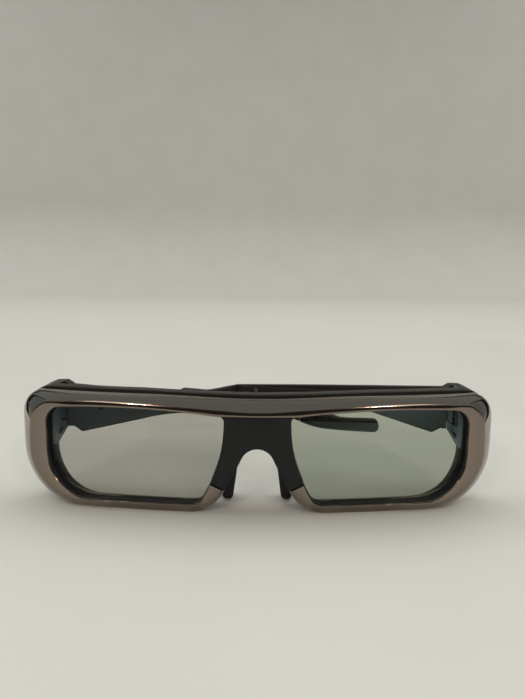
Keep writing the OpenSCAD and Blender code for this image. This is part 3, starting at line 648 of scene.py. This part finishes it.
# %% Shutters and gaskets
LENS_LAP, GASKET_SHIFT, LENS_SLICE = 1.5, 0.8, 4.0
GLASS_LAYERS = (("front", 4.65, LENS_LAP), ("rear", 5.95, LENS_LAP - 0.2))
GASKET_RIMS = [(0.2, 3.62), (0.05, 3.7), (0, 3.85), (0, 4.4), (0.2, 4.6)]
GLASS_RIMS = [(0.15, 0), (0, 0.15), (0, 1.05), (0.15, 1.2)]
for side, name in ((-1, "right"), (1, "left")):
    bm = bmesh.new()
    plate(bm, [lambda inset: opening(side, LENS_LAP - inset),
               lambda inset: [(x - side * GASKET_SHIFT, z) for x, z in opening(side, inset)]],
          GASKET_RIMS, LENS_SLICE)
    bend(bm)
    settle(bm, "gasket_" + name, "frame", [dark["gasket_rubber"]],
           ["lens_gasket_" + name])
    for layer, front, lap in GLASS_LAYERS:
        bm = bmesh.new()
        plate(bm, [lambda inset: opening(side, lap - inset)],
              [(inset, front + depth) for inset, depth in GLASS_RIMS], LENS_SLICE)
        bend(bm)
        settle(bm, f"{layer}_glass_{name}", "frame", [glass[name]],
               [f"shutter_{layer}_glass_{name}"])

# %% [markdown]
# A strip of black foam closes the cable's channel in the parting line, where the brow dips.

# %% Channel seal
SEAL_CORNERS = [(-34, 40.4), (34, 40.4), (34, 41.7), (-34, 41.7)]
SEAL_RIMS = [(0.05, 7.45), (0, 7.5), (0, 7.69)]
bm = bmesh.new()
plate(bm, [lambda inset: drawn_in(SEAL_CORNERS, inset)], SEAL_RIMS, 3.0)
bend(bm)
settle(bm, "channel_seal", "frame", [dark["gasket_rubber"]])

# %% [markdown]
# ## Corner inlays
#
# A grey triangle is let into each upper outer corner, between the facet and the brow. A fine dark
# joint runs along its top and a thick one down its outer side. It lies on the back slope, so it is
# pushed along the same stations: for each one, a table says how far up the slope it reaches.

# %% Reach of the inlays and their joints
INLAY_KEYS = [(10.4, 0.03), (11.6, 0.42), (11.9, 0.44), (12.4, 0.42), (13.1, 0.36), (13.6, 0.25),
              (14.1, 0.05)]
INLAY_FROM, INLAY_TO = int(INLAY_KEYS[0][0] * STEPS) + 1, int(INLAY_KEYS[-1][0] * STEPS)
JOINT_THIN, JOINT_THICK, JOINT_GROWTH, SIDE_KEY, SIDE_SPAN = 0.05, 0.08, 0.06, 11.2, 0.5


def inlay_reach(index):
    """How far up the back slope the triangle reaches at a station."""
    key = index / STEPS
    for (a, low), (b, high) in zip(INLAY_KEYS, INLAY_KEYS[1:]):
        if key <= b:
            return low + (high - low) * (key - a) / (b - a)
    return INLAY_KEYS[-1][1]


def joint_width(index):
    """How much of the slope the black joint takes: little at the top, more down the side."""
    key = index / STEPS
    share = max(0.0, min(1.0, (key - SIDE_KEY) / SIDE_SPAN))
    return JOINT_THIN + JOINT_THICK * share + JOINT_GROWTH * max(0.0, key - SIDE_KEY - SIDE_SPAN)


print("inlays from station", INLAY_FROM, "to", INLAY_TO)

# %% Sheets on the back slope
NEXT = 0.02  # the share of the slope to the next point


def slope_normal(index, share):
    """Outward direction of the back slope at a station."""
    along = slope_point(stations[index + 1], share) - slope_point(stations[index - 1], share)
    over = slope_point(stations[index], share + NEXT) - slope_point(stations[index], share)
    return along.cross(over).normalized()


def slope_patch(side, spans, proud, steps):
    """A thin sheet on the back slope; spans gives the two shares at each station."""
    bm = bmesh.new()
    ring = None
    for index, (low, high) in spans.items():
        places = []
        for i in range(steps + 1):
            share = low + (high - low) * i / steps
            point = slope_point(stations[index], share) + slope_normal(index, share) * proud
            places.append((side * point.x, point.y, point.z))
        ring = push(bm, ring, places, False) if ring else row_of(bm, places, False)
    return bm


# %% Corner inlays
INLAY_PROUD, JOINT_PROUD, INLAY_T, INLAY_ROWS = 0.05, 0.07, 0.3, 6
INLAY_START, JOINT_LAP = 0.02, 0.01  # shares of the slope
reach = {index: inlay_reach(index) for index in range(INLAY_FROM, INLAY_TO + 1)}
grey = {index: (INLAY_START, high) for index, high in reach.items()}
line = {index: (high - JOINT_LAP, high + joint_width(index)) for index, high in reach.items()}
for side, name in ((-1, "right"), (1, "left")):
    for part, spans, proud, finish, nodes in (
            ("inlay", grey, INLAY_PROUD, inner["inlay_grey_chrome"], ["corner_inlay_" + name]),
            ("inlay_joint", line, JOINT_PROUD, dark["joint_black_paint"], [])):
        bm = slope_patch(side, spans, proud, INLAY_ROWS)
        bmesh.ops.recalc_face_normals(bm, faces=bm.faces)
        bmesh.ops.solidify(bm, geom=bm.faces[:], thickness=INLAY_T)
        bend(bm)
        settle(bm, f"{part}_{name}", "frame", [finish], nodes)

# %% [markdown]
# ## Rear frame
#
# The rear frame closes the front from behind and carries the pods and the hinges. Its measured
# shape is right, so a copy of it is merged instead of drawing it again, and its sharp edges are
# rounded. The button is copied in the same way.

# %% Copies of measured pieces
def copy_of(node):
    """A merged copy of a measured node, in millimetres from the front's apex."""
    bm = bmesh.new()
    bm.from_mesh(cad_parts[node].data)
    bmesh.ops.scale(bm, verts=bm.verts, vec=(1 / MM, 1 / MM, 1 / MM))
    bmesh.ops.translate(bm, verts=bm.verts, vec=(0, -APEX_Y, 0))
    bmesh.ops.remove_doubles(bm, verts=bm.verts, dist=0.002)
    bmesh.ops.dissolve_limit(bm, angle_limit=math.radians(0.5), verts=bm.verts, edges=bm.edges)
    return bm


def lies_on(x, z, outline, play=0.1, overrun=0.01):
    """Whether a point lies on an outline, to a tenth of a millimetre."""
    here = Vector((x, z))
    for a, b in zip(outline, outline[1:] + outline[:1]):
        foot, share = intersect_point_line(here, a, b)
        if -overrun < share < 1 + overrun and (foot - here).length < play:
            return True
    return False


def round_edges(bm, width, crisp=30.0, within=1000.0):
    """Rounds every edge that turns by more than crisp degrees, up to a depth."""
    sharp = [e for e in bm.edges if e.is_manifold and e.calc_face_angle() > math.radians(crisp)
             and max(v.co.y for v in e.verts) < within]
    bmesh.ops.bevel(bm, geom=sharp, offset=width, offset_type="OFFSET", segments=2, profile=0.5,
                    affect="EDGES", clamp_overlap=True, material=-1)
    return bm


# %% [markdown]
# Under each lens the lower edge of the frame's hole is let down towards the back, so that the bar
# slopes away and doesn't show through the glass. A Boolean cut could do that, but moving the two
# rings of the hole keeps the mesh clean. A rib runs down under each hinge, a cap closes the bore
# of its pin, and what is seen there through the lens is blue grey.

# %% Rear frame and button
REAR_HOLE = 0.6
HOLE_RINGS = ((7.7, 0.8), (12.7, 2.4))  # the depth of a ring, and how far it is let down
DROP_FROM, DROP_OVER = 30.0, 22.0
RIB_CORNERS = [(76.1, 24.3), (82.6, 24.3), (83.2, 20.0), (82.4, 15.6), (81.3, 15.6)]
RIB_RIMS = [(0.3, 22.0), (0, 22.3), (0, 28.7), (0.3, 29.0)]
CAP_R, CAP_LOW, CAP_TOP = 1.2, 42.0, 42.99
SHELL_ROUND, BUTTON_ROUND, ROUND_TO, RING_PLAY = 0.25, 0.25, 21.0, 0.03
GREY_FROM_Y, GREY_X, GREY_Z = 13.5, (70, 82), (20, 38)
TO_MIDDLE, TO_FRONT = -0.3, -0.5  # how far a face has to turn to be seen through the lens
shell = copy_of("rear_frame")
for side in (-1, 1):
    hole = opening(side, REAR_HOLE)
    for v in shell.verts:
        depth = WRAP_R - math.hypot(WRAP_R - v.co.y, v.co.x)
        for ring_depth, drop in HOLE_RINGS:
            if abs(depth - ring_depth) < RING_PLAY and lies_on(v.co.x, v.co.z, hole):
                v.co.z -= drop * max(0.0, min(1.0, (DROP_FROM - v.co.z) / DROP_OVER))
round_edges(shell, SHELL_ROUND, within=ROUND_TO)
for side in (-1, 1):
    plate(shell, [lambda inset: [(side * x, z) for x, z in drawn_in(RIB_CORNERS, inset)]], RIB_RIMS)
    middle = Matrix.Translation((side * HINGE_X, HINGE_DEPTH, (CAP_LOW + CAP_TOP) / 2))
    bmesh.ops.create_cone(shell, cap_ends=True, segments=24, radius1=CAP_R, radius2=CAP_R,
                          depth=CAP_TOP - CAP_LOW, matrix=middle)
shell.normal_update()
# faces seen through the lens take the temples' lightened blue grey, which is partly painted light
for face in shell.faces:
    centre = face.calc_center_median()
    inward = face.normal.x * math.copysign(1, centre.x) < TO_MIDDLE or face.normal.y < TO_FRONT
    beside = GREY_X[0] < abs(centre.x) < GREY_X[1] and GREY_Z[0] < centre.z < GREY_Z[1]
    face.material_index = 1 if inward and beside and centre.y > GREY_FROM_Y else 0
settle(shell, "rear_shell", "frame",
       [dark["frame_brown_grey_abs"], dark["temple_blue_grey_lightened"]], ["rear_frame"])
settle(round_edges(copy_of("power_button"), BUTTON_ROUND), "button_cap", "button",
       [dark["button_abs"]], ["power_button"])

# %% [markdown]
# ## Temples
#
# Each temple is a slim arm with a rounded outer edge, a thin inner cover with two screws, and a
# soft ear tip that hooks down. The arm is as dark as the rear frame. The cover is blue grey by the
# hinge, and so is the tip under its dark upper edge. All are drawn from the side, along the arm
# from its hinge axis, and then turned to where the temple lies folded.

# %% Temple outlines
# Corners: the distance from the hinge axis, the height, and how far before it the rounding starts
ARM_CORNERS = [(3.6, 41.3, 1.0), (60.5, 37.2, 16), (94.9, 34.4, 0.3), (94.9, 28.8, 0.3),
               (89.5, 31.0, 3), (45, 31.0, 9), (8.3, 22.0, 0.4), (5.0, 24.2, 0.3), (2.8, 24.1, 0.3),
               (2.8, 27.4, 0.2), (3.6, 27.6, 0.2)]
COVER_CORNERS = [(2.7, 37.2, 0.6), (60.5, 35.7, 16), (92, 34.3, 0.6), (92, 31.9, 0.6), (44, 31.4, 9),
                 (8.5, 22.6, 0.4), (5.3, 24.8, 0.3), (2.7, 24.6, 0.3)]
TIP_CORNERS = [(95, 34.4, 0.3), (102.5, 32.6, 5), (110, 30.3, 4), (125.2, 30.3, 2.4),
               (125.2, 25.3, 2.4), (113, 25.6, 5), (101.5, 26.4, 4), (95, 28.7, 0.2)]
ARM_RIMS = [(0.35, -0.3), (0.1, -0.22), (0, 0.05), (0, 2.2), (0.14, 2.8), (0.5, 3.22), (1.0, 3.42),
            (1.6, 3.5)]
COVER_RIMS = [(0.25, -1.5), (0.07, -1.43), (0, -1.25), (0, -0.4)]
TIP_RIMS = [(1.6, -1.5), (0.8, -1.36), (0.25, -0.9), (0, -0.2), (0, 2.2), (0.25, 2.9), (0.8, 3.36),
            (1.6, 3.5)]
COVER_SCREWS, SCREW_HOLE_R = [(16.6, 32.34), (85.0, 33.16)], 1.05
KNUCKLE_R, BARREL_Z, BARREL_TOP, BARREL_ROUND = 2.6, 27.6, 37.4, 0.25
BARREL_RIMS = [(BARREL_ROUND, BARREL_Z), (0, BARREL_Z + BARREL_ROUND), (0, BARREL_TOP - BARREL_ROUND),
               (BARREL_ROUND, BARREL_TOP)]
TONE_CUT, TONE_WAY = Vector((46.0, 0, 0)), Vector((1, 0, 0))
SPINE_CUT, SPINE_WAY = Vector((0, 0, 29.3)), Vector((0, 0, 1))
print("arm, cover and tip have", [len(c) for c in (ARM_CORNERS, COVER_CORNERS, TIP_CORNERS)], "corners")

# %% Holes, folding and two tones
REST = {"right": -4.0, "left": 21.0}  # how far the folded temples lean back, in degrees


def screw_hole(s, z):
    """A round hole for a screw head."""
    return lambda inset: arc(s, z, SCREW_HOLE_R + inset, 360, 15, 23)


def fold(bm, name):
    """Turns a temple piece from its own drawing to where the folded temple lies."""
    side = 1 if name == "left" else -1
    place = (Matrix.Diagonal((-side, 1, 1, 1)) @ Matrix.Translation((-HINGE_X, HINGE_DEPTH, 0))
             @ Matrix.Rotation(math.radians(REST[name]), 4, "Z"))
    bmesh.ops.transform(bm, matrix=place, verts=bm.verts)


def two_tone(bm, cut, way):
    """Cuts a moulding at a plane, and gives what lies beyond it the second finish."""
    bmesh.ops.bisect_plane(bm, geom=bm.verts[:] + bm.edges[:] + bm.faces[:], dist=0.0001,
                           plane_co=cut, plane_no=way)
    for face in bm.faces:
        face.material_index = 1 if (face.calc_center_median() - cut).dot(way) > 0 else 0


# %% Temples
# barrels, covers and tips use the lightened blue grey, which is partly painted light for their shade
# behind the lenses
knuckle_plan = [(4.4, -0.3), (4.4, 2.1)] + arc(0, 0, KNUCKLE_R, 54, 353.4, 28)
for name in ("right", "left"):
    body = name + "_temple"
    bm = bmesh.new()
    plate(bm, [lambda inset: drawn_in(rounded(ARM_CORNERS), inset)], ARM_RIMS)
    barrel = plate(bm, [lambda inset: drawn_in(knuckle_plan, inset)], BARREL_RIMS)
    for v in barrel:
        v.co.y, v.co.z = v.co.z, v.co.y
    for face in {f for v in barrel for f in v.link_faces}:
        face.material_index = 1
    fold(bm, name)
    settle(bm, "arm_" + name, body,
           [dark["frame_brown_grey_abs"], dark["temple_blue_grey_lightened"]], ["temple_arm_" + name])
    bm = bmesh.new()
    plate(bm, [lambda inset: drawn_in(rounded(COVER_CORNERS), inset)]
          + [screw_hole(*at) for at in COVER_SCREWS], COVER_RIMS)
    two_tone(bm, TONE_CUT, TONE_WAY)
    fold(bm, name)
    settle(bm, "cover_" + name, body,
           [dark["temple_blue_grey_lightened"], dark["frame_brown_grey_abs"]], ["temple_cover_" + name])
    bm = bmesh.new()
    plate(bm, [lambda inset: drawn_in(rounded(TIP_CORNERS), inset)], TIP_RIMS)
    two_tone(bm, SPINE_CUT, SPINE_WAY)
    fold(bm, name)
    settle(bm, "tip_" + name, body,
           [dark["soft_touch_tip_lightened"], dark["frame_brown_grey_abs"]], ["ear_tip_" + name])

# %% [markdown]
# ## Nose pads
#
# Two soft silicone pads sit behind the arch. They are short fat plates with a large rounding, so
# that nothing sharp touches the nose.

# %% Nose pads
PAD_CORNERS = [(9.2, 0.3, 1.4), (13.2, 0.3, 1.6), (13.4, 6.0, 3), (11.4, 12.8, 3), (9.1, 17, 1.0),
               (7, 17, 1.0)]
PAD_RIMS = [(1.3, 13.12), (0.6, 13.25), (0.15, 13.75), (0, 14.5), (0, 18.1), (0.2, 18.9), (0.7, 19.42),
            (1.4, 19.6)]
PLATE_CORNERS = [(9.0, 7.6, 0.6), (15.6, 7.6, 1.6), (15.6, 12.0, 1.6), (9.0, 12.0, 0.6)]
PLATE_RIMS = [(0.2, 13.12), (0, 13.3), (0, 14.3), (0.25, 14.5)]
for side, name in ((-1, "right"), (1, "left")):
    bm = bmesh.new()
    plate(bm, [lambda inset: drawn_in(rounded(PAD_CORNERS), inset)], PAD_RIMS)
    plate(bm, [lambda inset: drawn_in(rounded(PLATE_CORNERS), inset)], PLATE_RIMS)
    bmesh.ops.scale(bm, verts=bm.verts, vec=(side, 1, 1))
    settle(bm, "pad_" + name, "frame", [dark["nose_pad_silicone"]], ["nose_pad_" + name])

# %% [markdown]
# ## Pieces that keep their measured shape
#
# Boards, cell, cable, socket, screws and pins are small and mostly inside. Their measured shapes
# stay, and each gets the finish of its real material.

# %% Finishes of the measured pieces
KEPT = {
    "ir_receiver": dark["satin_black_abs"], "ir_board": inner["solder_mask"],
    "flex_cable": inner["polyimide_film"], "battery": inner["pouch_foil"],
    "main_board": inner["solder_mask"], "charge_socket": inner["zinc_plated_steel"],
    "tact_switch": dark["button_abs"], "status_light": inner["clear_acrylic"],
    "frame_screws": inner["zinc_plated_steel"], "hinge_pin_right": inner["zinc_plated_steel"],
    "hinge_pin_left": inner["zinc_plated_steel"], "temple_screws_right": inner["phosphated_steel"],
    "temple_screws_left": inner["phosphated_steel"],
}
for name, finish in KEPT.items():
    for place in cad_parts[name].material_slots:
        place.material = finish
print(len(KEPT), "measured pieces keep their shape")

# %% [markdown]
# ## Table and wall
#
# The table and the wall are one pale sheet with a wide bend between them, so that no line shows. The
# laminate is an even light grey with a faint cloud, and has hardly any shine.

# %% Table and wall
TABLE_FRONT, TABLE_BACK, BEND_R, WALL_TOP, HALF_TABLE = -0.9, 1.8, 0.4, 3.0, 4.0
profile = [(TABLE_FRONT, 0.0), (-0.3, 0.0), (0.3, 0.0)]
profile += [(TABLE_BACK + x, z) for x, z in arc(0, BEND_R, BEND_R, -90, 0, 24)]
profile += [(TABLE_BACK + BEND_R, WALL_TOP)]
bm = bmesh.new()
row = row_of(bm, [(-HALF_TABLE, y, z) for y, z in profile], False)
push(bm, row, [(HALF_TABLE, y, z) for y, z in profile], False)
bmesh.ops.recalc_face_normals(bm, faces=bm.faces)
bmesh.ops.reverse_faces(bm, faces=bm.faces)
mesh = bpy.data.meshes.new("table")
bm.to_mesh(mesh)
bm.free()
mesh.shade_smooth()
paper, tree, shader = new_finish("table_pale_laminate", Specular_IOR_Level=0.3)
_, cloud = grain(paper, shader, grit_mm=0.6, height_mm=0.002, rough=0.5, sway=0.05, cloud_mm=120.0)
tone = add(tree, "ValToRGB", {"Fac": cloud.outputs["Fac"]})
tone.color_ramp.elements[0].color = hexa("c6c6c0")
tone.color_ramp.elements[1].color = hexa("cfcec9")
tree.links.new(tone.outputs["Color"], shader.inputs["Base Color"])
mesh.materials.append(paper)
table = bpy.data.objects.new("table", mesh)
bpy.context.scene.collection.objects.link(table)
print("table", len(mesh.polygons), "faces")

# %% [markdown]
# ## Lamps
#
# Two large soft lamps stand at the sides and one hangs behind. They light the scene but aren't seen
# in the gloss, where they would burn out the corners. In front, where the room is dark, a soft
# patch and a row of three small lamps on each side put the bright lines and sparkles on the crease.

# %% Lamps
SOFT_SIZE = 1.0  # a lamp of this size or more isn't seen in the gloss
# Each: name, place, what it points at, size in metres, watts, colour
LAMPS = [("ceiling", (0.0, 0.6, 1.6), (0, 0.3, 0), 1.0, 7.0, "fffaf2")]
for side, word in ((-1, "right"), (1, "left")):
    LAMPS.append(("softbox_" + word, (side * 2.3, 1.0, 1.75), (0, 0.2, 0), 3.0, 46.0, "fffcf8"))
    LAMPS.append(("patch_" + word, (side * 0.75, -0.92, 0.95), (0, 0, 0.03), 0.4, 1.2, "fff4ea"))
    for i in (-1, 0, 1):
        LAMPS.append((f"bulb_{word}_{i + 2}", (side * 0.62 + i * 0.05, -1.15, 0.75), (0, 0, 0.03),
                      0.025, 1.2, "fff0e2"))
for name, at, aim, size, power, code in LAMPS:
    lamp = bpy.data.lights.new(name, "AREA")
    lamp.size, lamp.energy, lamp.color = size, power, hexa(code)[:3]
    lamp_object = bpy.data.objects.new(name, lamp)
    lamp_object.location = at
    lamp_object.rotation_mode = "QUATERNION"
    lamp_object.rotation_quaternion = (Vector(aim) - Vector(at)).to_track_quat("-Z", "Y")
    lamp_object.visible_glossy = size < SOFT_SIZE
    bpy.context.scene.collection.objects.link(lamp_object)
print(len(LAMPS), "lamps")

# %% [markdown]
# The room is pale overhead and behind, and dark in front up to about thirty degrees. The bronze
# facets show that front, and so they look deeper than the brow, which shows the pale part.

# %% Room
ROOM_FRONT, ROOM_SKY, ROOM_LEVEL = "3a3936", "a8b0b0", 0.9
DARK_TO, SKY_FROM, ROOM_TURN = 0.5, 0.7, 0.35  # sines of heights in front, and of the turn to the back
world = bpy.data.worlds.new("room")
world.use_nodes = True
tree = world.node_tree
way = add(tree, "SeparateXYZ", {"Vector": add(tree, "TexCoord").outputs["Generated"]})
front = add(tree, "ValToRGB", {"Fac": way.outputs["Z"]})
front.color_ramp.elements[0].position = DARK_TO
front.color_ramp.elements[0].color = hexa(ROOM_FRONT)
front.color_ramp.elements[1].position = SKY_FROM
front.color_ramp.elements[1].color = hexa(ROOM_SKY)
behind = add(tree, "MapRange", {"Value": way.outputs["Y"], "From Min": -ROOM_TURN,
                                "From Max": ROOM_TURN})
sky = add(tree, "MixRGB", {"Fac": behind.outputs["Result"], "Color1": front.outputs["Color"],
                           "Color2": hexa(ROOM_SKY)})
tree.links.new(sky.outputs["Color"], tree.nodes["Background"].inputs["Color"])
tree.nodes["Background"].inputs["Strength"].default_value = ROOM_LEVEL
bpy.context.scene.world = world
print("room", world.name)
